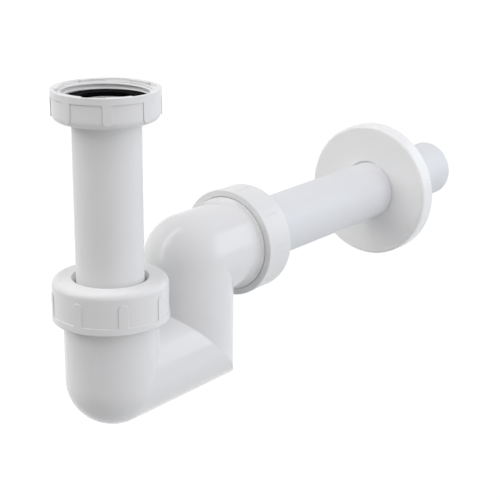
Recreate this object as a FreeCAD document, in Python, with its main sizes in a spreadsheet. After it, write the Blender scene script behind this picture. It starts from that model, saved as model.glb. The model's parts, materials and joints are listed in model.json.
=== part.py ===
import FreeCAD, Part
import Sketcher
import math
import os
import re

# Tubular trap for a washbasin. Origin: centre of the sealing face under the basin waste,
# +Z up along the inlet pipe, +Y along the outlet pipe towards the wall. Lengths in mm.

doc = FreeCAD.newDocument("basin_trap")
sheet = doc.addObject("Spreadsheet::Sheet", "sizes")

SIZES = (
    ("pipe_radius", 16.0, "outer radius of the inlet and the outlet pipe"),
    ("pipe_wall", 1.8, "wall of both pipes"),
    ("pipe_lead", 0.6, "bevel on a pipe's free end"),
    ("running_gap", 0.3, "clearance round a pipe in its seal and nuts"),
    ("ring_gap", 0.5, "clearance round a pipe in its slip ring"),
    ("gasket_radius", 20.4, "flat inlet gasket, outside"),
    ("gasket_bore", 14.0, "flat inlet gasket, radius of its hole"),
    ("gasket_thickness", 2.0, "flat inlet gasket"),
    ("collar_radius", 20.0, "collar on the inlet pipe under the gasket"),
    ("collar_height", 4.2, "collar on the inlet pipe"),
    ("dip_reach", 142.0, "sealing face down to the inlet pipe's lower end"),
    ("rib_count", 8, "grip ribs round each nut"),
    ("union_radius", 24.7, "union nut, between its ribs"),
    ("union_height", 14.3, "union nut"),
    ("union_rim", 4.6, "sealing face up to the union nut's rim"),
    ("union_floor", 3.2, "union nut's floor, which lifts the collar"),
    ("union_round", 3.5, "rounding of the union nut's lower edge"),
    ("union_band", 3.1, "raised band at the union nut's rim"),
    ("union_rib_raise", 0.4, "band and ribs over the union nut's wall"),
    ("union_rib_width", 4.2, "grip rib of the union nut"),
    ("union_rib_foot", 1.9, "union nut's lower face up to its ribs"),
    ("union_turn", -1.4, "degrees from +X to a rib of the union nut"),
    ("thread_radius", 20.95, "union nut's thread at its root"),
    ("mouth_radius", 21.7, "union nut's mouth, above the thread"),
    ("mouth_depth", 1.2, "union nut's mouth"),
    ("lead_count", 6, "lead-in recesses round the union nut's mouth"),
    ("lead_radius", 23.2, "lead-in recess"),
    ("lead_sweep", 30.0, "degrees that a lead-in recess takes"),
    ("nut_radius", 27.3, "compression nut, between its ribs"),
    ("nut_height", 19.8, "compression nut"),
    ("nut_floor", 3.2, "compression nut's closed end"),
    ("nut_round", 3.0, "rounding of the compression nut's closed end"),
    ("nut_bevel", 0.3, "bevel of the compression nut's open edge"),
    ("nut_band", 3.4, "raised band at the compression nut's open edge"),
    ("nut_rib_raise", 0.35, "band and ribs over the compression nut's wall"),
    ("nut_rib_width", 4.5, "grip rib of the compression nut"),
    ("nut_rib_reach", 14.5, "open edge up to the ends of the ribs"),
    ("nut_bore", 24.4, "compression nut's thread at its root"),
    ("nut_hole_flare", 1.6, "how much the nut's hole widens outwards"),
    ("inlet_nut_turn", 9.3, "degrees from +X to a rib of the inlet nut"),
    ("outlet_nut_turn", 1.8, "degrees from +X down to a rib of the outlet nut"),
    ("ring_radius", 23.0, "slip ring under a compression nut"),
    ("ring_thickness", 1.6, "slip ring"),
    ("seal_proud", 1.6, "cone seal above the socket's mouth"),
    ("seal_depth", 6.5, "cone seal inside the socket"),
    ("seat_mouth", 21.2, "conical seat at the socket's mouth, radius"),
    ("seat_throat", 17.2, "conical seat at its narrow end, radius"),
    ("seat_depth", 8.0, "conical seat"),
    ("land_depth", 2.0, "straight throat behind the seat"),
    ("relief_depth", 3.0, "slope from the throat back to the tube's bore"),
    ("tube_radius", 22.5, "outer radius of the trap's tube"),
    ("tube_wall", 2.2, "wall of the trap's tube"),
    ("socket_radius", 24.1, "stop collar of the threaded sockets at both ends of the tube"),
    ("socket_land", 2.6, "stop collar, along the tube"),
    ("socket_fillet", 1.0, "hollow rounding where the tube meets a socket's slope"),
    ("socket_root", 22.9, "socket's thread at its root"),
    ("socket_bevel", 0.4, "bevel at a socket's mouth"),
    ("lower_depth", 135.0, "sealing face down to the lower tube's axis"),
    ("outlet_depth", 89.6, "sealing face down to the outlet axis"),
    ("leg_spacing", 57.0, "inlet axis to the rear leg's axis"),
    ("nut_depth", 104.2, "sealing face down to the inlet nut's open edge"),
    ("inlet_flare_start", 0.6, "inlet nut's open edge up to the socket's slope"),
    ("inlet_flare_length", 2.6, "slope from tube to inlet socket"),
    ("outlet_nut_reach", 88.2, "inlet axis to the outlet nut's open edge"),
    ("outlet_flare_lead", 1.9, "outlet socket's slope ahead of the nut's edge"),
    ("outlet_flare_length", 1.1, "slope from tube to outlet socket"),
    ("outlet_start", 78.0, "inlet axis to the outlet pipe's inner end"),
    ("outlet_end", 287.5, "inlet axis to the outlet pipe's free end"),
    ("mark_distance", 50.0, "free end back to the insertion mark"),
    ("mark_depth", 0.4, "insertion mark"),
    ("mark_width", 1.2, "insertion mark"),
    ("flange_reach", 219.9, "inlet axis to the wall flange's front edge"),
    ("flange_radius", 38.0, "wall flange at its front edge"),
    ("flange_draft", 0.2, "how much wider the flange is at the wall"),
    ("flange_depth", 9.3, "wall flange"),
    ("flange_dish", 1.4, "how far the flange's face sinks from its edge to its hole"),
    ("flange_wall", 1.8, "wall flange, wall and face"),
    ("flange_round", 1.5, "rounding of the flange's front edge"),
    ("flange_lead", 0.9, "how much wider the flange's hole is at its face"),
    ("flange_lead_depth", 1.2, "slope from the face down to the flange's hole"),
)
ALIASES = {alias for alias, _, _ in SIZES}

for row, (alias, size, meaning) in enumerate(SIZES, start=1):
    sheet.set(f"A{row}", meaning)
    sheet.set(f"B{row}", str(size))
    sheet.setAlias(f"B{row}", alias)
doc.recompute()

# Heights that several pieces share, as formulas of the sizes.
PIPE_BORE = "(pipe_radius - pipe_wall)"
TUBE_BORE = "(tube_radius - tube_wall)"
RING_SEAT = "(nut_height - nut_floor - ring_thickness)"
MOUTH = "(nut_height - nut_floor - ring_thickness - seal_proud)"
RISE = "(lower_depth - outlet_depth)"

# Share of a rib's width that its end is rounded with, just under a half circle.
RIB_END = 0.46
# How far a rib's pad starts inside the wall and ends beyond the rib's face.
RIB_ROOT = 1.0
RIB_SPARE = 0.3


def formula(text):
    """The sheet formula for a text that names sizes by their aliases."""
    def in_sheet(word):
        return "sizes." + word.group() if word.group() in ALIASES else word.group()

    return re.sub(r"[a-z_]+", in_sheet, text)


def value(text):
    """What a formula of the sizes comes to."""
    return float(sheet.evalExpression(formula(text)))


def hold(sketch, constraint, text):
    """Adds a dimension to a sketch and binds it to a formula of the sizes."""
    index = sketch.addConstraint(constraint)
    sketch.setExpression(f"Constraints[{index}]", formula(text))


def place_point(sketch, geometry, end, across, along):
    """Holds a point of a sketch at two formulas from its origin."""
    origin, x_axis, y_axis = (-1, 1), -1, -2
    for kind, text, axis in (("DistanceX", across, y_axis), ("DistanceY", along, x_axis)):
        if text == "0":
            sketch.addConstraint(Sketcher.Constraint("PointOnObject", geometry, end, axis))
        else:
            hold(sketch, Sketcher.Constraint(kind, *origin, geometry, end, value(text)), text)


def draw_outline(sketch, corners):
    """A closed outline through corners (across, along) or (across, along, rounding)."""
    points = [FreeCAD.Vector(value(corner[0]), value(corner[1]), 0) for corner in corners]
    count = len(points)
    starts, ends, arcs = [], [], []
    for index, corner in enumerate(corners):
        here = points[index]
        back = (points[index - 1] - here).normalize()
        ahead = (points[(index + 1) % count] - here).normalize()
        if len(corner) == 2:
            starts.append(here)
            ends.append(here)
            arcs.append(None)
            continue
        radius = value(corner[2])
        half = back.getAngle(ahead) / 2
        ends.append(here + back * (radius / math.tan(half)))
        starts.append(here + ahead * (radius / math.tan(half)))
        centre = here + (back + ahead).normalize() * (radius / math.sin(half))
        left_turn = (back * -1).cross(ahead).z > 0
        first, last = (ends[-1], starts[-1]) if left_turn else (starts[-1], ends[-1])
        angles = [math.atan2(point.y - centre.y, point.x - centre.x) for point in (first, last)]
        circle = Part.Circle(centre, FreeCAD.Vector(0, 0, 1), radius)
        arcs.append((Part.ArcOfCircle(circle, *angles), left_turn))
    lines = []
    for index in range(count):
        lines.append(sketch.addGeometry(Part.LineSegment(starts[index], ends[(index + 1) % count]), False))
    for index, corner in enumerate(corners):
        before, after = lines[index - 1], lines[index]
        if arcs[index] is None:
            sketch.addConstraint(Sketcher.Constraint("Coincident", before, 2, after, 1))
            place_point(sketch, after, 1, corner[0], corner[1])
            continue
        arc, left_turn = arcs[index]
        curve = sketch.addGeometry(arc, False)
        entry, leave = (1, 2) if left_turn else (2, 1)
        sketch.addConstraint(Sketcher.Constraint("Tangent", before, 2, curve, entry))
        sketch.addConstraint(Sketcher.Constraint("Tangent", curve, leave, after, 1))
        hold(sketch, Sketcher.Constraint("Radius", curve, value(corner[2])), corner[2])
        apex = sketch.addGeometry(Part.Point(points[index]), True)
        sketch.addConstraint(Sketcher.Constraint("PointOnObject", apex, 1, before))
        sketch.addConstraint(Sketcher.Constraint("PointOnObject", apex, 1, after))
        place_point(sketch, apex, 1, corner[0], corner[1])


def origin_feature(body, role):
    """An axis or plane of a body's own origin."""
    return next(item for item in body.Origin.OriginFeatures if item.Role == role)


def new_sketch(body, name, plane):
    """An empty sketch on a plane of the body's origin."""
    sketch = body.newObject("Sketcher::SketchObject", f"{body.Name}_{name}")
    sketch.AttachmentSupport = [(origin_feature(body, plane), "")]
    sketch.MapMode = "FlatFace"
    return sketch


def turned(body, name, corners, kind="Revolution", sweep=None):
    """Turns an outline (radius, height) round the body's Z axis."""
    sketch = new_sketch(body, f"{name}_outline", "XZ_Plane")
    draw_outline(sketch, corners)
    feature = body.newObject(f"PartDesign::{kind}", f"{body.Name}_{name}")
    feature.Profile = sketch
    feature.ReferenceAxis = (sketch, ["V_Axis"])
    feature.Angle = 360
    if sweep:
        feature.Midplane = True
        feature.setExpression("Angle", formula(sweep))
    body.Tip = feature
    return feature


def patterned(body, feature, times):
    """Repeats a feature evenly round the body's Z axis."""
    pattern = body.newObject("PartDesign::PolarPattern", f"{feature.Name}_ring")
    pattern.Originals = [feature]
    pattern.Axis = (origin_feature(body, "Z_Axis"), [""])
    pattern.Angle = 360
    pattern.setExpression("Occurrences", formula(times))
    body.Tip = pattern
    return pattern


def add_ribs(body, wall, rise, width, inner, outer):
    """Grip ribs on a round wall, from height inner, in the band, to a rounded end at outer."""
    half = f"({width} / 2)"
    rounding = f"{width} * {RIB_END}"
    sketch = new_sketch(body, "rib_outline", "XZ_Plane")
    sketch.setExpression("AttachmentOffset.Base.z", formula(f"{wall} - {RIB_ROOT}"))
    draw_outline(sketch, (
        (f"-{half}", inner),
        (half, inner),
        (half, outer, rounding),
        (f"-{half}", outer, rounding),
    ))
    pad = body.newObject("PartDesign::Pad", f"{body.Name}_rib")
    pad.Profile = sketch
    pad.setExpression("Length", formula(f"{rise} + {RIB_ROOT + RIB_SPARE}"))
    body.Tip = pad
    doc.recompute()
    patterned(body, pad, "rib_count")
    low, high = (inner, outer) if value(inner) < value(outer) else (outer, inner)
    face = f"{wall} + {rise}"
    spare = f"{face} + {RIB_ROOT}"
    turned(body, "rib_face", ((face, low), (spare, low), (spare, high), (face, high)), "Groove")


def new_body(name):
    """An empty body whose label names its piece."""
    body = doc.addObject("PartDesign::Body", name)
    body.Label = name
    return body


def stand(body, height, turn="0"):
    """Places a turned piece on the inlet axis, its own zero at a height."""
    body.Placement.Rotation = FreeCAD.Rotation(FreeCAD.Vector(0, 0, 1), value(turn))
    body.setExpression("Placement.Base.z", formula(height))


def lay(body, reach, turn="0"):
    """Places a turned piece on the outlet axis, its own zero at a distance from the inlet axis."""
    towards_wall = FreeCAD.Rotation(FreeCAD.Vector(1, 0, 0), -90)
    body.Placement.Rotation = towards_wall * FreeCAD.Rotation(FreeCAD.Vector(0, 0, 1), value(turn))
    body.setExpression("Placement.Base.y", formula(reach))
    body.setExpression("Placement.Base.z", formula("-outlet_depth"))


# Union nut: a ribbed cap whose thread takes the basin waste and whose floor lifts the collar.
def union_nut():
    body = new_body("inlet_union_nut")
    rim_radius = "union_radius + union_rib_raise"
    hole = "pipe_radius + running_gap"
    relief = "gasket_radius + running_gap"
    seal_face = "union_height - union_rim"
    turned(body, "shell", (
        (hole, "0"),
        ("union_radius", "0", "union_round"),
        ("union_radius", "union_height - union_band"),
        (rim_radius, "union_height - union_band"),
        (rim_radius, "union_height"),
        ("mouth_radius", "union_height"),
        ("mouth_radius", "union_height - mouth_depth"),
        ("thread_radius", "union_height - mouth_depth"),
        ("thread_radius", seal_face),
        (relief, seal_face),
        (relief, "union_floor"),
        (hole, "union_floor"),
    ))
    add_ribs(body, "union_radius", "union_rib_raise", "union_rib_width",
             "union_height - union_band / 2", "union_rib_foot")
    recess = turned(body, "lead", (
        ("thread_radius", "union_height - mouth_depth"),
        ("lead_radius", "union_height - mouth_depth"),
        ("lead_radius", "union_height"),
        ("thread_radius", "union_height"),
    ), "Groove", sweep="lead_sweep")
    doc.recompute()
    patterned(body, recess, "lead_count")
    stand(body, "union_rim - union_height", "union_turn")


# Flat rubber gasket between the collar and the basin waste.
def gasket():
    body = new_body("inlet_gasket")
    turned(body, "disc", (
        ("gasket_bore", "0"),
        ("gasket_radius", "0"),
        ("gasket_radius", "gasket_thickness"),
        ("gasket_bore", "gasket_thickness"),
    ))
    stand(body, "-gasket_thickness")


# Inlet pipe: its collar hangs in the union nut and its lower end dips into the water.
def inlet_pipe():
    body = new_body("inlet_pipe")
    length = "(dip_reach - gasket_thickness)"
    turned(body, "wall", (
        (PIPE_BORE, "0"),
        ("pipe_radius - pipe_lead", "0"),
        ("pipe_radius", "pipe_lead"),
        ("pipe_radius", f"{length} - collar_height"),
        ("collar_radius", f"{length} - collar_height"),
        ("collar_radius", length),
        (PIPE_BORE, length),
    ))
    stand(body, "-dip_reach")


# Outlet pipe: plain, with a shallow mark for how far it goes into the drain.
def outlet_pipe():
    body = new_body("outlet_pipe")
    length = "(outlet_end - outlet_start)"
    mark = f"({length} - mark_distance)"
    turned(body, "wall", (
        (PIPE_BORE, "0"),
        ("pipe_radius - pipe_lead", "0"),
        ("pipe_radius", "pipe_lead"),
        ("pipe_radius", f"{mark} - mark_width"),
        ("pipe_radius - mark_depth", f"{mark} - mark_width"),
        ("pipe_radius - mark_depth", mark),
        ("pipe_radius", mark),
        ("pipe_radius", f"{length} - pipe_lead"),
        ("pipe_radius - pipe_lead", length),
        (PIPE_BORE, length),
    ))
    lay(body, "outlet_start")


# Compression nut: a ribbed cap with its thread at the open end and a flared pipe hole at the other.
def compression_nut(name):
    body = new_body(name)
    band_radius = "nut_radius + nut_rib_raise"
    hole = "pipe_radius + 2 * running_gap"
    turned(body, "shell", (
        ("nut_bore", "0"),
        (f"{band_radius} - nut_bevel", "0"),
        (band_radius, "nut_bevel"),
        (band_radius, "nut_band"),
        ("nut_radius", "nut_band"),
        ("nut_radius", "nut_height", "nut_round"),
        (f"{hole} + nut_hole_flare", "nut_height"),
        (hole, "nut_height - nut_floor"),
        ("nut_bore", "nut_height - nut_floor"),
    ))
    add_ribs(body, "nut_radius", "nut_rib_raise", "nut_rib_width", "nut_band / 2", "nut_rib_reach")
    return body


# Slip ring: lets the nut turn without dragging the seal round.
def slip_ring(name):
    body = new_body(name)
    turned(body, "disc", (
        ("pipe_radius + ring_gap", "0"),
        ("ring_radius", "0"),
        ("ring_radius", "ring_thickness"),
        ("pipe_radius + ring_gap", "ring_thickness"),
    ))
    return body


# Cone seal: a rubber wedge that fills the socket's conical seat round the pipe.
def cone_seal(name):
    body = new_body(name)
    bore = "pipe_radius + running_gap"
    turned(body, "wedge", (
        (bore, "0"),
        ("seat_mouth - (seat_mouth - seat_throat) * seal_depth / seat_depth", "0"),
        ("seat_mouth", "seal_depth"),
        ("seat_mouth", "seal_depth + seal_proud"),
        (bore, "seal_depth + seal_proud"),
    ))
    return body


def socket_outside(flare_start, flare_length, mouth):
    """Outline of a leg from its middle to its threaded socket, as (radius, distance)."""
    collar = f"{flare_start} + {flare_length}"
    return (
        ("0", "0"),
        ("tube_radius", "0"),
        ("tube_radius", flare_start, "socket_fillet"),
        ("socket_radius", collar),
        ("socket_radius", f"{collar} + socket_land"),
        ("socket_root", f"{collar} + socket_land"),
        ("socket_root", f"{mouth} - socket_bevel"),
        ("socket_root - socket_bevel", mouth),
        ("0", mouth),
    )


def socket_inside(mouth):
    """Outline of a leg's bore up to the conical seat of its socket, as (radius, distance)."""
    throat_end = f"{mouth} - seat_depth - land_depth"
    return (
        ("0", "0"),
        (TUBE_BORE, "0"),
        (TUBE_BORE, f"{throat_end} - relief_depth"),
        ("seat_throat", throat_end),
        ("seat_throat", f"{mouth} - seat_depth"),
        ("seat_mouth", mouth),
        ("0", mouth),
    )


# Trap body: one hollow moulding, its own zero at the middle of the bottom ball. The front leg
# ends in a ball, the lower tube meets the rear leg in a mitre, and a ball turns it to the outlet.
def trap_body():
    body = new_body("trap_body")
    inlet_edge = "(lower_depth - nut_depth)"
    inlet_mouth = f"({inlet_edge} + {MOUTH})"
    inlet_flare = f"({inlet_edge} + inlet_flare_start)"
    outlet_mouth = f"(outlet_nut_reach - leg_spacing + {MOUTH})"
    outlet_flare = "(outlet_nut_reach - leg_spacing - outlet_flare_lead)"
    mitre = FreeCAD.Vector(value("leg_spacing"), 0, 0)
    turn_top = FreeCAD.Vector(value("leg_spacing"), value(RISE), 0)
    route = new_sketch(body, "route", "YZ_Plane")
    foot = route.addGeometry(Part.LineSegment(FreeCAD.Vector(0, 0, 0), mitre))
    leg = route.addGeometry(Part.LineSegment(mitre, turn_top))
    route.addConstraint(Sketcher.Constraint("Coincident", foot, 1, -1, 1))
    route.addConstraint(Sketcher.Constraint("Coincident", foot, 2, leg, 1))
    route.addConstraint(Sketcher.Constraint("Horizontal", foot))
    route.addConstraint(Sketcher.Constraint("Vertical", leg))
    hold(route, Sketcher.Constraint("DistanceX", foot, 1, foot, 2, value("leg_spacing")), "leg_spacing")
    hold(route, Sketcher.Constraint("DistanceY", leg, 1, leg, 2, value(RISE)), RISE)

    def mitred_tube(name, kind, radius):
        ring = new_sketch(body, f"{name}_ring", "XZ_Plane")
        circle = Part.Circle(FreeCAD.Vector(0, 0, 0), FreeCAD.Vector(0, 0, 1), value(radius))
        edge = ring.addGeometry(circle, False)
        ring.addConstraint(Sketcher.Constraint("Coincident", edge, 3, -1, 1))
        hold(ring, Sketcher.Constraint("Radius", edge, value(radius)), radius)
        pipe = body.newObject(f"PartDesign::{kind}Pipe", f"{body.Name}_{name}")
        pipe.Profile = ring
        pipe.Spine = (route, ["Edge1", "Edge2"])
        pipe.Transition = "Right corner"
        body.Tip = pipe

    def ball(name, kind, radius, reach, height):
        sphere = body.newObject(f"PartDesign::{kind}Sphere", f"{body.Name}_{name}")
        sphere.setExpression("Radius", formula(radius))
        sphere.setExpression("Placement.Base.y", formula(reach))
        sphere.setExpression("Placement.Base.z", formula(height))
        body.Tip = sphere

    def outlet(name, kind, outline):
        sketch = new_sketch(body, f"{name}_outline", "YZ_Plane")
        sketch.setExpression("AttachmentOffset.Base.x", formula("leg_spacing"))
        sketch.setExpression("AttachmentOffset.Base.y", formula(RISE))
        draw_outline(sketch, [(along, across, *rounding) for across, along, *rounding in outline])
        feature = body.newObject(f"PartDesign::{kind}", f"{body.Name}_{name}")
        feature.Profile = sketch
        feature.ReferenceAxis = (sketch, ["H_Axis"])
        feature.Angle = 360
        body.Tip = feature

    turned(body, "front_leg", socket_outside(inlet_flare, "inlet_flare_length", inlet_mouth))
    ball("bottom_ball", "Additive", "tube_radius", "0", "0")
    mitred_tube("lower_tube", "Additive", "tube_radius")
    ball("elbow_ball", "Additive", "tube_radius", "leg_spacing", RISE)
    outlet("outlet_leg", "Revolution", socket_outside(outlet_flare, "outlet_flare_length", outlet_mouth))
    turned(body, "front_bore", socket_inside(inlet_mouth), "Groove")
    ball("bottom_hollow", "Subtractive", TUBE_BORE, "0", "0")
    mitred_tube("lower_bore", "Subtractive", TUBE_BORE)
    ball("elbow_hollow", "Subtractive", TUBE_BORE, "leg_spacing", RISE)
    outlet("outlet_bore", "Groove", socket_inside(outlet_mouth))
    stand(body, "-lower_depth")


# Wall flange: a shallow round cover, open behind. Its face is dished a little towards its hole,
# and the hole slopes in to the pipe.
def wall_flange():
    body = new_body("wall_flange")
    hole = "(pipe_radius + running_gap)"
    turned(body, "cover", (
        (f"{hole} + flange_lead", "flange_dish"),
        ("flange_radius", "0", "flange_round"),
        ("flange_radius + flange_draft", "flange_depth"),
        ("flange_radius + flange_draft - flange_wall", "flange_depth"),
        ("flange_radius - flange_wall", "flange_wall"),
        (hole, "flange_dish + flange_wall"),
        (hole, "flange_dish + flange_lead_depth"),
    ))
    lay(body, "flange_reach")


union_nut()
gasket()
inlet_pipe()
stand(compression_nut("inlet_clamp_nut"), "-nut_depth", "inlet_nut_turn")
stand(slip_ring("inlet_slip_ring"), f"{RING_SEAT} - nut_depth")
stand(cone_seal("inlet_cone_seal"), f"{MOUTH} - seal_depth - nut_depth")
trap_body()
lay(compression_nut("outlet_clamp_nut"), "outlet_nut_reach", "outlet_nut_turn")
lay(slip_ring("outlet_slip_ring"), f"outlet_nut_reach + {RING_SEAT}")
lay(cone_seal("outlet_cone_seal"), f"outlet_nut_reach + {MOUTH} - seal_depth")
outlet_pipe()
wall_flange()
doc.recompute()

failed = [item.Name for item in doc.Objects if "Invalid" in item.State or "Error" in item.State]
if failed:
    raise RuntimeError("objects that did not build: " + ", ".join(failed))
os.makedirs("parts", exist_ok=True)
for piece in doc.findObjects("PartDesign::Body"):
    shape = piece.Shape
    if shape.isNull() or not shape.isValid() or len(shape.Solids) != 1:
        raise RuntimeError(f"{piece.Label} is not one valid solid")
    shape.exportStep(f"parts/{piece.Label}.step")
    box = shape.BoundBox
    print(f"{piece.Label}: {shape.Volume / 1000:.2f} cm3, {len(shape.Faces)} faces, "
          f"Y {box.YMin:.1f} to {box.YMax:.1f}, Z {box.ZMin:.1f} to {box.ZMax:.1f}")
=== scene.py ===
import bmesh
import bpy
import json
import math
from mathutils import Euler, Matrix, Vector


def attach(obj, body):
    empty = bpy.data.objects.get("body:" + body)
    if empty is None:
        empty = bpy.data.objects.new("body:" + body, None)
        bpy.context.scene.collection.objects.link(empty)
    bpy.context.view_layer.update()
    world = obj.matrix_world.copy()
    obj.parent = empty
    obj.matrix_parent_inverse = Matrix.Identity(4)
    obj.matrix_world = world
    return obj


# A basin trap with its wall flange. The solids get their finishes, the threads and thin lips that
# they carry are added, and the whole hangs in a white studio.
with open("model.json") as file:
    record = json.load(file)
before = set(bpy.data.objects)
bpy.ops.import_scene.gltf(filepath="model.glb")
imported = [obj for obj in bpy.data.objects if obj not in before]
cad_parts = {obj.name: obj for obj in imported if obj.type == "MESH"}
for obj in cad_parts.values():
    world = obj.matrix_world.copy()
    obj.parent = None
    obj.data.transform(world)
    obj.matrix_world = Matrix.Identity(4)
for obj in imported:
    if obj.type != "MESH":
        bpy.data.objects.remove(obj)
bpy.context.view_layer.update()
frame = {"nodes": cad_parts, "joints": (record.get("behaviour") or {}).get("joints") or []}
mm = 0.001
print("stage 1: frame loaded,", len(frame["nodes"]), "nodes")


# colours are written as sRGB hex and used as linear light
def hexToLinear(hexText):
    channels = []
    for start in (0, 2, 4):
        level = int(hexText[start:start + 2], 16) / 255
        channels.append(level / 12.92 if level <= 0.04045 else ((level + 0.055) / 1.055) ** 2.4)
    return (*channels, 1.0)


# one node, its settings and its incoming links; an input is a value or another node's socket
def addNode(tree, kind, inputs=None, **settings):
    node = tree.nodes.new(kind)
    for name, setting in settings.items():
        setattr(node, name, setting)
    for name, source in (inputs or {}).items():
        if isinstance(source, bpy.types.NodeSocket):
            tree.links.new(source, node.inputs[name])
        else:
            node.inputs[name].default_value = source
    return node


def newMaterial(name):
    material = bpy.data.materials.new(name)
    material.use_nodes = True
    material.node_tree.nodes.clear()
    return material, material.node_tree


# A Mix node has several sockets of each name, so its two colours and its result go by number.
mixFirst, mixSecond, mixResult = 6, 7, 2
noiseLow, noiseHigh = 0.35, 0.65        # most of a noise texture lies between these
edgeSamples = 8                         # rays that look for an edge to round
white = hexToLinear("FFFFFF")

# Polypropylene, injection moulded. The polished mould gives a clean gloss, shrinking of the thick
# walls leaves long faint waves in it, and the white drifts slightly with the wall's thickness.
# The gloss drifts a little with the same waves.
# Each range from gloss to dull stays on one side of 0.274, because the render's denoiser treats
# smoother and rougher surfaces in two ways, and a range across that value would look patchy.
bodyLook = {
    "colour": "EAEAE9",
    "shade": "E4E4E5",          # what the colour drifts to
    "gloss": 0.06,              # roughness where it shines most
    "dull": 0.10,               # roughness where it shines least
    "ior": 1.49,
    "cloudSize": 28 * mm,       # width of the colour's slow drift
    "reliefSize": 9 * mm,       # width of a shrink wave
    "reliefStretch": 1,         # length of a wave over its width
    "reliefDetail": 1.0,        # finer waves upon the waves
    "reliefDepth": 0.010 * mm,
    "edgeRound": 0.35 * mm,     # the mould's own edge radius
}
nutLook = {
    **bodyLook,
    "colour": "EBEBEA",
    "shade": "E5E5E5",
    "gloss": 0.3,
    "dull": 0.38,
    "reliefSize": 5 * mm,
}
# The flange's colour is painted lighter than the body's: painted light on its face, which the lamps
# leave too dark.
flangeLook = {**bodyLook, "colour": "F4F4F3", "shade": "F0F0F0", "gloss": 0.2, "dull": 0.26}
ringLook = {**bodyLook, "colour": "DFE0E1", "shade": "D9DADC", "gloss": 0.34, "dull": 0.42}

# Polypropylene, extruded into pipe. The die draws fine lines along the pipe, so its gloss is
# softer than a moulding's and spreads round the pipe.
pipeLook = {
    "colour": "EAEAE9",
    "shade": "E4E4E4",
    "gloss": 0.44,
    "dull": 0.52,
    "ior": 1.49,
    "cloudSize": 34 * mm,
    "reliefSize": 2.4 * mm,     # width of a die line; the real ones are finer and would not show
    "reliefStretch": 60,        # length of a die line over its width
    "reliefDetail": 2.0,
    "reliefDepth": 0.001 * mm,
    "edgeRound": 0.3 * mm,
}
# The outlet pipe is the same plastic as the inlet pipe, painted a shade darker and cooler: painted
# shade for the way the light falls on it lying level.
levelPipeLook = {**pipeLook, "colour": "E4E5E7", "shade": "DFE0E2"}


# Either plastic: its colour drifts between two shades, and one relief sets both bump and gloss.
# The axis along which the relief is drawn out matters only where its stretch isn't 1.
def makePlastic(name, look, along="Z"):
    material, tree = newMaterial(name)
    place = addNode(tree, "ShaderNodeTexCoord").outputs["Object"]
    cloud = addNode(tree, "ShaderNodeTexNoise", {
        "Vector": place,
        "Scale": 1 / look["cloudSize"],
        "Detail": 2.0,
    })
    colour = addNode(tree, "ShaderNodeMix", {
        "Factor": cloud.outputs["Fac"],
        mixFirst: hexToLinear(look["colour"]),
        mixSecond: hexToLinear(look["shade"]),
    }, data_type="RGBA")
    squeeze = Vector((1, 1, 1))
    squeeze["XYZ".index(along)] = 1 / look["reliefStretch"]
    drawn = addNode(tree, "ShaderNodeMapping", {"Vector": place, "Scale": squeeze})
    relief = addNode(tree, "ShaderNodeTexNoise", {
        "Vector": drawn.outputs["Vector"],
        "Scale": 1 / look["reliefSize"],
        "Detail": look["reliefDetail"],
    })
    polish = addNode(tree, "ShaderNodeMapRange", {
        "Value": relief.outputs["Fac"],
        "From Min": noiseLow,
        "From Max": noiseHigh,
        "To Min": look["gloss"],
        "To Max": look["dull"],
    })
    edge = addNode(tree, "ShaderNodeBevel", {"Radius": look["edgeRound"]}, samples=edgeSamples)
    bump = addNode(tree, "ShaderNodeBump", {
        "Height": relief.outputs["Fac"],
        "Distance": look["reliefDepth"],
        "Normal": edge.outputs["Normal"],
    })
    shader = addNode(tree, "ShaderNodeBsdfPrincipled", {
        "Base Color": colour.outputs[mixResult],
        "Roughness": polish.outputs["Result"],
        "IOR": look["ior"],
        "Normal": bump.outputs["Normal"],
    })
    addNode(tree, "ShaderNodeOutputMaterial", {"Surface": shader.outputs["BSDF"]})
    return material


# EPDM rubber: the gasket is punched from sheet, the cone seals are moulded. It is near black and
# matt, with a fine grain from its filler and a trace of the talc that it is packed with.
rubberLook = {
    "colour": "040405",
    "talc": "0A0A0B",
    "dull": 0.85,
    "sheen": 0.05,              # specular level; rubber shines far less than a plastic
    "grainSize": 0.5 * mm,      # drawn a little coarse, to show at all
    "grainDepth": 0.02 * mm,
}


def makeRubber(name, look):
    material, tree = newMaterial(name)
    place = addNode(tree, "ShaderNodeTexCoord").outputs["Object"]
    grain = addNode(tree, "ShaderNodeTexNoise", {
        "Vector": place,
        "Scale": 1 / look["grainSize"],
        "Detail": 3.0,
    })
    colour = addNode(tree, "ShaderNodeMix", {
        "Factor": grain.outputs["Fac"],
        mixFirst: hexToLinear(look["colour"]),
        mixSecond: hexToLinear(look["talc"]),
    }, data_type="RGBA")
    bump = addNode(tree, "ShaderNodeBump", {
        "Height": grain.outputs["Fac"],
        "Distance": look["grainDepth"],
    })
    shader = addNode(tree, "ShaderNodeBsdfPrincipled", {
        "Base Color": colour.outputs[mixResult],
        "Roughness": look["dull"],
        "Specular IOR Level": look["sheen"],
        "Normal": bump.outputs["Normal"],
    })
    addNode(tree, "ShaderNodeOutputMaterial", {"Surface": shader.outputs["BSDF"]})
    return material


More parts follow.
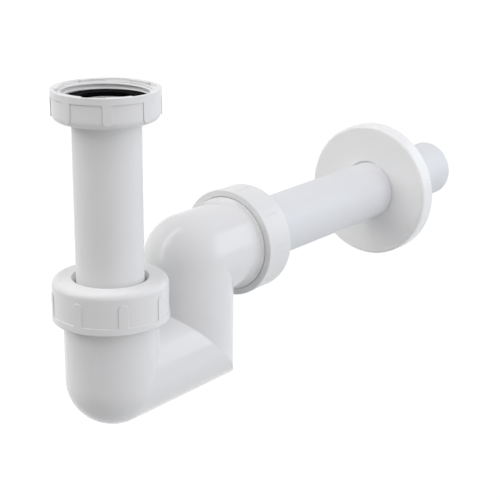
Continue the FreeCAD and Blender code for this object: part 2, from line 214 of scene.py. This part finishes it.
bodyPlastic = makePlastic("moulded polypropylene, polished", bodyLook)
nutPlastic = makePlastic("moulded polypropylene, nuts", nutLook)
flangePlastic = makePlastic("moulded polypropylene, flange", flangeLook)
ringPlastic = makePlastic("moulded polypropylene, slip rings", ringLook)
uprightPipe = makePlastic("extruded polypropylene, upright pipe", pipeLook, "Z")
levelPipe = makePlastic("extruded polypropylene, level pipe", levelPipeLook, "Y")
blackRubber = makeRubber("EPDM rubber", rubberLook)
nodeFinish = {
    "inlet_union_nut": nutPlastic,
    "inlet_gasket": blackRubber,
    "inlet_pipe": uprightPipe,
    "inlet_clamp_nut": nutPlastic,
    "inlet_slip_ring": ringPlastic,
    "inlet_cone_seal": blackRubber,
    "trap_body": bodyPlastic,
    "outlet_clamp_nut": nutPlastic,
    "outlet_slip_ring": ringPlastic,
    "outlet_cone_seal": blackRubber,
    "outlet_pipe": levelPipe,
    "wall_flange": flangePlastic,
}
for nodeName, finish in nodeFinish.items():
    for materialSlot in frame["nodes"][nodeName].material_slots:
        materialSlot.material = finish
print("stage 2: materials assigned")

# Pieces are shaped round their own Z axis and then stood on the inlet's or laid on the outlet's.
nutTurn = next(joint for joint in frame["joints"] if joint["name"] == "outlet_nut_turn")
outletDepth = -nutTurn["pos_m"][2]      # sealing face down to the outlet's axis
mergeGap = 0.0005 * mm                  # corners nearer than this become one
sharpFrom = 40                          # degrees; an edge that turns further stays sharp


def standAt(height):
    return Matrix.Translation((0, 0, height))


def layAt(reach):
    return Matrix.Translation((0, reach, -outletDepth)) @ Matrix.Rotation(math.radians(-90), 4, "X")


def addObject(name, content):
    placed = bpy.data.objects.new(name, content)
    bpy.context.scene.collection.objects.link(placed)
    return placed


# merges a finished shape's doubles, puts it in its place and makes it a piece that rides on a body
def addPiece(name, shape, place, body, material):
    bmesh.ops.remove_doubles(shape, verts=shape.verts, dist=mergeGap)
    bmesh.ops.transform(shape, matrix=place, verts=shape.verts)
    bmesh.ops.recalc_face_normals(shape, faces=shape.faces)
    mesh = bpy.data.meshes.new(name)
    shape.to_mesh(mesh)
    shape.free()
    mesh.shade_smooth()
    mesh.set_sharp_from_angle(angle=math.radians(sharpFrom))
    mesh.materials.append(material)
    piece = addObject(name, mesh)
    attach(piece, body)


def turnShape(shape, degrees, axis):
    bmesh.ops.rotate(shape, cent=(0, 0, 0), verts=shape.verts,
                     matrix=Matrix.Rotation(math.radians(degrees), 3, axis))


# a flat outline of (radius, height) corners in the XZ plane, as one face
def addOutline(shape, corners):
    return shape.faces.new([shape.verts.new((across, 0, along)) for across, along in corners])


# rounds the outline's tips, which lie at the ridge's crest
def roundTips(shape, sizes):
    near = 0.01 * mm
    tips = [corner for corner in shape.verts if abs(corner.co.x - sizes["crest"]) < near]
    bmesh.ops.bevel(shape, geom=tips, offset=sizes["tipRound"], segments=2, profile=0.5,
                    affect="VERTICES", material=-1)


# sinks a ridge into its wall at both ends, along a smooth curve
def sinkEnds(shape, sizes):
    lowest = 0.02       # share of its height that the ridge's end keeps, so that no face folds flat
    for corner in shape.verts:
        angle = math.degrees(math.atan2(corner.co.y, corner.co.x))
        turned = (angle - sizes["startAngle"]) / 360
        climbed = (corner.co.z - sizes["startHeight"]) / sizes["pitch"]
        passed = turned + round(climbed - turned)       # turns from the ridge's start
        rise = min(passed, sizes["turns"] - passed) / sizes["fade"]
        rise = min(max(rise, 0), 1)
        rise = rise * rise * (3 - 2 * rise)             # eased at both ends
        radius = math.hypot(corner.co.x, corner.co.y)
        kept = sizes["foot"] + (radius - sizes["foot"]) * (lowest + (1 - lowest) * rise)
        corner.co.x *= kept / radius
        corner.co.y *= kept / radius


# cuts a ridge off level, above or below a height, and closes the cut
def cutLevel(shape, height, upwards):
    bmesh.ops.bisect_plane(shape, geom=shape.faces[:] + shape.edges[:] + shape.verts[:],
                           plane_co=(0, 0, height), plane_no=(0, 0, upwards), clear_outer=True)
    rim = [side for side in shape.edges if side.is_boundary]
    if rim:
        bmesh.ops.edgenet_fill(shape, edges=rim)


# One thread ridge, right-handed. Its outline is swept up a helix, sinks into the wall at both
# ends, and is cut level where the wall that it stands on ends.
def makeRidge(sizes):
    shape = bmesh.new()
    halfRoot, halfCrest = sizes["rootWidth"] / 2, sizes["crestWidth"] / 2
    addOutline(shape, (
        (sizes["foot"], -halfRoot),
        (sizes["crest"], -halfCrest),
        (sizes["crest"], halfCrest),
        (sizes["foot"], halfRoot),
    ))
    roundTips(shape, sizes)
    turnShape(shape, sizes["startAngle"], "Z")
    bmesh.ops.translate(shape, verts=shape.verts, vec=(0, 0, sizes["startHeight"]))
    steps = round(sizes["turns"] * sizes["stepsPerTurn"])
    climb = sizes["pitch"] / sizes["stepsPerTurn"]      # per step
    bmesh.ops.spin(shape, geom=shape.faces[:] + shape.edges[:] + shape.verts[:],
                   cent=(0, 0, 0), axis=(0, 0, 1), dvec=(0, 0, climb),
                   angle=math.tau * sizes["turns"], steps=steps,
                   use_merge=False, use_duplicate=False)
    sinkEnds(shape, sizes)
    cutLevel(shape, sizes["lowCut"], -1)
    cutLevel(shape, sizes["highCut"], 1)
    return shape


# The basin waste's thread in the union nut.
unionPitch = 2.309 * mm         # 11 turns to the inch
unionThread = {
    "foot": 21.1 * mm,          # just inside the nut's wall, so the ridge grows out of it
    "crest": 20.3 * mm,
    "rootWidth": 1.7 * mm,
    "crestWidth": 0.3 * mm,
    "tipRound": 0.1 * mm,
    "pitch": unionPitch,
    # It passes 134 degrees once it has climbed 3.1 mm.
    "startAngle": 134 - 360 * 3.1 * mm / unionPitch,
    "startHeight": -0.6 * mm,
    "turns": 1.9,
    "stepsPerTurn": 120,
    "fade": 0.08,               # turns over which the ridge rises at each end
    "lowCut": 0.03 * mm,        # above the gasket
    "highCut": 3.38 * mm,       # under the nut's mouth
}
addPiece("unionThread", makeRidge(unionThread), standAt(0), "union", nutPlastic)

# The coarse threads of the sockets and of the compression nuts. They don't touch each other.
socketThread = {
    "foot": 22.8 * mm,
    "crest": 24.05 * mm,
    "rootWidth": 1.6 * mm,
    "crestWidth": 0.8 * mm,
    "tipRound": 0.15 * mm,
    "pitch": 3.0 * mm,
    "startAngle": 0,
    "startHeight": 0,
    "turns": 2.3,
    "stepsPerTurn": 96,
    "fade": 0.12,
    "lowCut": -0.8 * mm,
    "highCut": 7.8 * mm,
}
nutThread = {
    **socketThread,
    "foot": 24.5 * mm,
    "crest": 23.25 * mm,
    "startAngle": 180,          # half a turn on, so the two ridges lie between each other
    "turns": 2.0,
}
inletThreads = standAt(-98.2 * mm)      # where both threads of the inlet's joint start
outletThreads = layAt(93.0 * mm)        # and those of the outlet's
addPiece("inletSocketThread", makeRidge(socketThread), inletThreads,
         "trap", bodyPlastic)
addPiece("outletSocketThread", makeRidge(socketThread), outletThreads,
         "trap", bodyPlastic)
addPiece("inletNutThread", makeRidge(nutThread), inletThreads,
         "inlet_nut", nutPlastic)
addPiece("outletNutThread", makeRidge(nutThread), outletThreads,
         "outlet_nut", nutPlastic)


# sweeps an outline, in millimetres, once round the Z axis into a closed ring
def makeHoop(sizes):
    shape = bmesh.new()
    outline = addOutline(shape, [(across * mm, along * mm) for across, along in sizes["corners"]])
    bmesh.ops.delete(shape, geom=[outline], context="FACES_ONLY")
    bmesh.ops.spin(shape, geom=shape.edges[:] + shape.verts[:], cent=(0, 0, 0), axis=(0, 0, 1),
                   angle=math.tau, steps=sizes["steps"], use_merge=True, use_duplicate=False)
    return shape


# The flange's thin lip, which closes its hole round the pipe. It is shallow where the flange hangs
# on the pipe and deep at the upper left, where its front corners stand further back.
flangeLip = {
    "reach": 221.3 * mm,
    "corners": ((17.12, 0.1), (16.04, 0.1), (16.04, 1.78), (16.4, 1.78)),   # radius, behind the reach
    "frontWithin": 0.2 * mm,        # behind the reach; corners this near are the front ones
    "steps": 128,
    "deepSide": (-0.77, -0.64),     # towards -X and up
    "deepFrom": 0.4,                # cosine of the angle from deepSide where the deepening starts
    "deepFull": 0.8,                # and where it is complete
    "deepBy": 1.1 * mm,
}


def makeFlangeLip(sizes):
    shape = makeHoop(sizes)
    for corner in shape.verts:
        if corner.co.z < sizes["frontWithin"]:
            towards = Vector(corner.co.xy).normalized().dot(Vector(sizes["deepSide"]))
            share = max(towards - sizes["deepFrom"], 0) / (sizes["deepFull"] - sizes["deepFrom"])
            corner.co.z += sizes["deepBy"] * min(share, 1)
    return shape


addPiece("flangeLip", makeFlangeLip(flangeLip), layAt(flangeLip["reach"]),
         "flange", flangePlastic)

# The outlet nut's lip, which closes on the socket's collar just inside the nut's mouth.
nutLip = {
    "reach": 88.2 * mm,
    "corners": ((24.6, 0.3), (24.18, 0.3), (24.18, 0.9), (24.6, 0.9)),      # radius, behind the reach
    "steps": 128,
}
addPiece("outletNutLip", makeHoop(nutLip), layAt(nutLip["reach"]),
         "outlet_nut", nutPlastic)

# The witness line that the mould's split leaves across the flange's rim: a low rounded bar.
splitLine = {
    "angle": 17.0,              # degrees above level on the +X side, round the outlet's axis
    "radius": 37.98 * mm,       # the rim
    "flare": 1.2,               # degrees that the rim leans outwards
    "middle": 225.3 * mm,
    "size": (0.5 * mm, 0.5 * mm, 6.8 * mm),
    "round": 0.2 * mm,
}


def makeSplitLine(sizes):
    shape = bmesh.new()
    bmesh.ops.create_cube(shape, size=1.0)
    bmesh.ops.scale(shape, verts=shape.verts, vec=sizes["size"])
    bmesh.ops.bevel(shape, geom=shape.edges, offset=sizes["round"], segments=3, profile=0.5,
                    affect="EDGES", material=-1)
    turnShape(shape, sizes["flare"], "Y")
    bmesh.ops.translate(shape, verts=shape.verts, vec=(sizes["radius"], 0, 0))
    turnShape(shape, -sizes["angle"], "Z")
    return shape


addPiece("flangeSplitLine", makeSplitLine(splitLine), layAt(splitLine["middle"]),
         "flange", flangePlastic)
print("stage 3: threads and flange details made")

# The camera stands to the right of the pipe's plane and looks down at it, as in the photograph.
cameraLook = {
    "place": (439.46, -470.74, 131.66),  # mm
    "yaw": 37.232,                       # degrees to the left of +Y
    "pitch": 17.570,                     # degrees down
    "roll": 0.368,
    "lens": 104.33,                      # mm, on a 36 mm sensor
    "nearest": 10 * mm,                  # what is nearer doesn't show
}
cameraData = bpy.data.cameras.new("photoCamera")
cameraData.lens = cameraLook["lens"]
cameraData.clip_start = cameraLook["nearest"]
photoCamera = addObject("photoCamera", cameraData)
tilt, heading = math.radians(90 - cameraLook["pitch"]), math.radians(cameraLook["yaw"])
aim = Euler((tilt, 0, heading)).to_matrix()
aim = aim @ Matrix.Rotation(math.radians(cameraLook["roll"]), 3, "Z")
photoCamera.matrix_world = Matrix.Translation(Vector(cameraLook["place"]) * mm) @ aim.to_4x4()
bpy.context.scene.camera = photoCamera


# 1 for what the camera, a reflection or a clear pane shows, and 0 for light that falls on the object
def addSeen(tree):
    path = addNode(tree, "ShaderNodeLightPath")
    direct = addNode(tree, "ShaderNodeMath", {
        0: path.outputs["Is Camera Ray"],
        1: path.outputs["Is Glossy Ray"],
    }, operation="MAXIMUM")
    return addNode(tree, "ShaderNodeMath", {
        0: direct.outputs[0],
        1: path.outputs["Is Transmission Ray"],
    }, operation="MAXIMUM").outputs[0]


# the direction of an angle round from +X towards +Y and an angle above level, in degrees
def skyward(azimuth, elevation):
    turned = Euler((0, -math.radians(elevation), math.radians(azimuth)))
    return turned.to_matrix() @ Vector((1, 0, 0))


# The sky looks plain white, and lights the object with one broad glow from the left, which fades
# towards the other side.
skyGlow = {
    "azimuth": 170,
    "elevation": 15,
    "level": 0.22,
    "power": 2,                 # the higher, the smaller the glow
}
world = bpy.data.worlds.new("studio")
bpy.context.scene.world = world
world.use_nodes = True
tree = world.node_tree
tree.nodes.clear()
looking = addNode(tree, "ShaderNodeTexCoord").outputs["Generated"]
nearness = addNode(tree, "ShaderNodeVectorMath", {
    0: looking,
    1: skyward(skyGlow["azimuth"], skyGlow["elevation"]),
}, operation="DOT_PRODUCT").outputs["Value"]
# from -1 to 1, to 0 opposite the glow and 1 at its middle
share = addNode(tree, "ShaderNodeMath", {0: nearness, 1: 0.5, 2: 0.5}, operation="MULTIPLY_ADD")
fading = addNode(tree, "ShaderNodeMath", {
    0: share.outputs[0],
    1: skyGlow["power"],
}, operation="POWER")
skyLight = addNode(tree, "ShaderNodeMath", {
    0: fading.outputs[0],
    1: skyGlow["level"],
}, operation="MULTIPLY")
strength = addNode(tree, "ShaderNodeMapRange", {
    "Value": addSeen(tree),
    "To Min": skyLight.outputs[0],
    "To Max": 1.0,
})
backdrop = addNode(tree, "ShaderNodeBackground", {
    "Color": white,
    "Strength": strength.outputs[0],
})
addNode(tree, "ShaderNodeOutputWorld", {"Surface": backdrop.outputs["Background"]})

# A pale paper floor far below, since the trap hangs from its basin. The big soft boxes leave the
# trap's shadow there too faint to see. The floor's own glow, which only the camera and reflections
# see, fills in what the lamps leave dark further out, so that the floor is just white behind the
# trap. It rises smoothly with the distance from the middle, from glowLow at glowStart to glowHigh
# at glowEnd. A start below zero means that the middle itself is already some way up the rise.
studio = {
    "floorDrop": 0.55,          # floor below the sealing face, metres
    "floorSize": 8.0,           # metres across
    "paper": "D4D4D4",
    "glowLow": 0.18,
    "glowHigh": 0.95,
    "glowStart": -2.0,
    "glowEnd": 3.5,
}
floorMaterial, tree = newMaterial("pale studio floor")
onFloor = addNode(tree, "ShaderNodeTexCoord").outputs["Object"]
outwards = addNode(tree, "ShaderNodeVectorMath", {0: onFloor}, operation="LENGTH")
fillIn = addNode(tree, "ShaderNodeMapRange", {
    "Value": outwards.outputs["Value"],
    "From Min": studio["glowStart"],
    "From Max": studio["glowEnd"],
    "To Min": studio["glowLow"],
    "To Max": studio["glowHigh"],
}, interpolation_type="SMOOTHSTEP")
glowLevel = addNode(tree, "ShaderNodeMath", {
    0: addSeen(tree),
    1: fillIn.outputs[0],
}, operation="MULTIPLY")
paper = addNode(tree, "ShaderNodeBsdfDiffuse", {"Color": hexToLinear(studio["paper"])})
glow = addNode(tree, "ShaderNodeEmission", {
    "Color": white,
    "Strength": glowLevel.outputs[0],
})
both = addNode(tree, "ShaderNodeAddShader", {
    0: paper.outputs["BSDF"],
    1: glow.outputs["Emission"],
})
addNode(tree, "ShaderNodeOutputMaterial", {"Surface": both.outputs["Shader"]})
shape = bmesh.new()
bmesh.ops.create_grid(shape, x_segments=1, y_segments=1, size=studio["floorSize"] / 2)
bmesh.ops.translate(shape, verts=shape.verts, vec=(0, 0, -studio["floorDrop"]))
floorMesh = bpy.data.meshes.new("studioFloor")
shape.to_mesh(floorMesh)
shape.free()
floorMesh.materials.append(floorMaterial)
studioFloor = addObject("studioFloor", floorMesh)

# Soft boxes round the middle of the trap: azimuth and elevation in degrees, distance and size in
# metres, power in watts. The ones that are mirrored show in the gloss, and the others only light.
# A tint is linear red, green and blue, and a turn is in degrees round the box's own middle.
# The strip and its fade only show in the gloss: they draw the bright arc on the elbow.
trapMiddle = Vector((0, 0.1, -0.08))
softBoxes = {
    "keyBox": {
        "azimuth": 5, "elevation": 52, "distance": 1.6,
        "size": (1.8, 1.6), "power": 12.8, "tint": (0.97, 0.94, 1.0),
    },
    "frontBox": {
        "azimuth": -120, "elevation": 50, "distance": 1.6,
        "size": (2.0, 1.6), "power": 15.9,
    },
    "rightBox": {
        "azimuth": 0, "elevation": 12, "distance": 1.6,
        "size": (1.6, 1.2), "power": 8.7,
    },
    "leftBox": {
        "azimuth": -150, "elevation": 25, "distance": 1.6,
        "size": (1.6, 1.2), "power": 9.0,
    },
    "windowBox": {
        "azimuth": 55, "elevation": 17, "distance": 1.5,
        "size": (1.9, 0.9), "power": 6.8, "tint": (0.8, 0.92, 1.0), "mirrored": True,
    },
    "stripBox": {
        "azimuth": -133.5, "elevation": 39, "distance": 1.215, "turn": 15.8,
        "size": (0.1, 1.9), "power": 1.5, "mirrored": True, "lighting": False,
    },
    "stripFadeBox": {
        "azimuth": -123, "elevation": 40.8, "distance": 1.228, "turn": 9.0,
        "size": (0.25, 1.9), "power": 1.7, "mirrored": True, "lighting": False,
    },
}
for boxName, box in softBoxes.items():
    lamp = bpy.data.lights.new(boxName, "AREA")
    lamp.shape = "RECTANGLE"
    lamp.size, lamp.size_y = box["size"]
    lamp.energy = box["power"]
    lamp.color = box.get("tint", (1, 1, 1))
    softBox = addObject(boxName, lamp)
    softBox.visible_glossy = box.get("mirrored", False)
    softBox.visible_diffuse = box.get("lighting", True)
    away = skyward(box["azimuth"], box["elevation"])
    rolled = Matrix.Rotation(math.radians(box.get("turn", 0)), 3, "Z")
    facing = away.to_track_quat("Z", "Y").to_matrix() @ rolled
    softBox.matrix_world = Matrix.Translation(trapMiddle + away * box["distance"]) @ facing.to_4x4()

bpy.context.scene.view_settings.view_transform = "Standard"
print("stage 4: camera, floor and lights placed")
